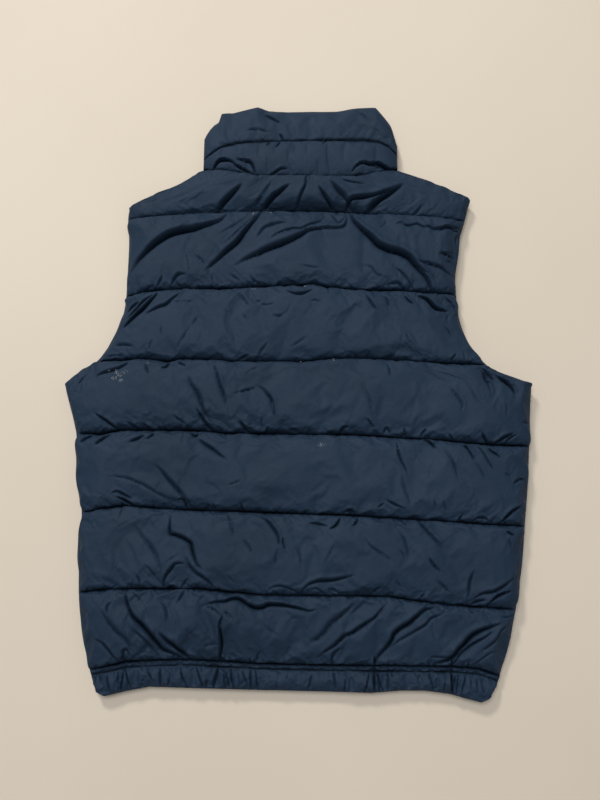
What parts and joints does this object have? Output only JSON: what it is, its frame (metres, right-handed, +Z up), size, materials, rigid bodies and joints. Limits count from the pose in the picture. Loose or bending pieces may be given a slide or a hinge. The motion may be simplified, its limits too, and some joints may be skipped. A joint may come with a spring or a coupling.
{
  "type": "puffer vest",
  "caption": "Sleeveless quilted jacket with a padded stand collar, an elasticated hem band and a closed front zip, laid out flat face down.",
  "frame": {"origin": "middle of the garment's box on the surface that it lies on", "axes": "+X towards the wearer's right side, +Y towards the collar, +Z up from the surface, out of the garment's back"},
  "size_m": [0.5504, 0.7088, 0.0338],
  "materials": {
    "navy_nylon": "satin",
    "navy_tape": "matte",
    "gunmetal": "satin"
  },
  "bodies": {
    "vest": {"back_panel": "navy_nylon", "front_left": "navy_nylon", "front_right": "navy_nylon", "collar": "navy_nylon", "hem_band": "navy_nylon", "zip_chain": "navy_tape", "zip_slider": "gunmetal"},
    "pull_tab": {"zip_pull": "gunmetal"}
  },
  "joints": [
    {"name": "pull_tab", "type": "hinge", "parent": "vest", "child": "pull_tab", "pos_m": [-0.00275, 0.26957, 0.0027], "axis": [1, 0, 0], "range_deg": [0, 175]}
  ]
}
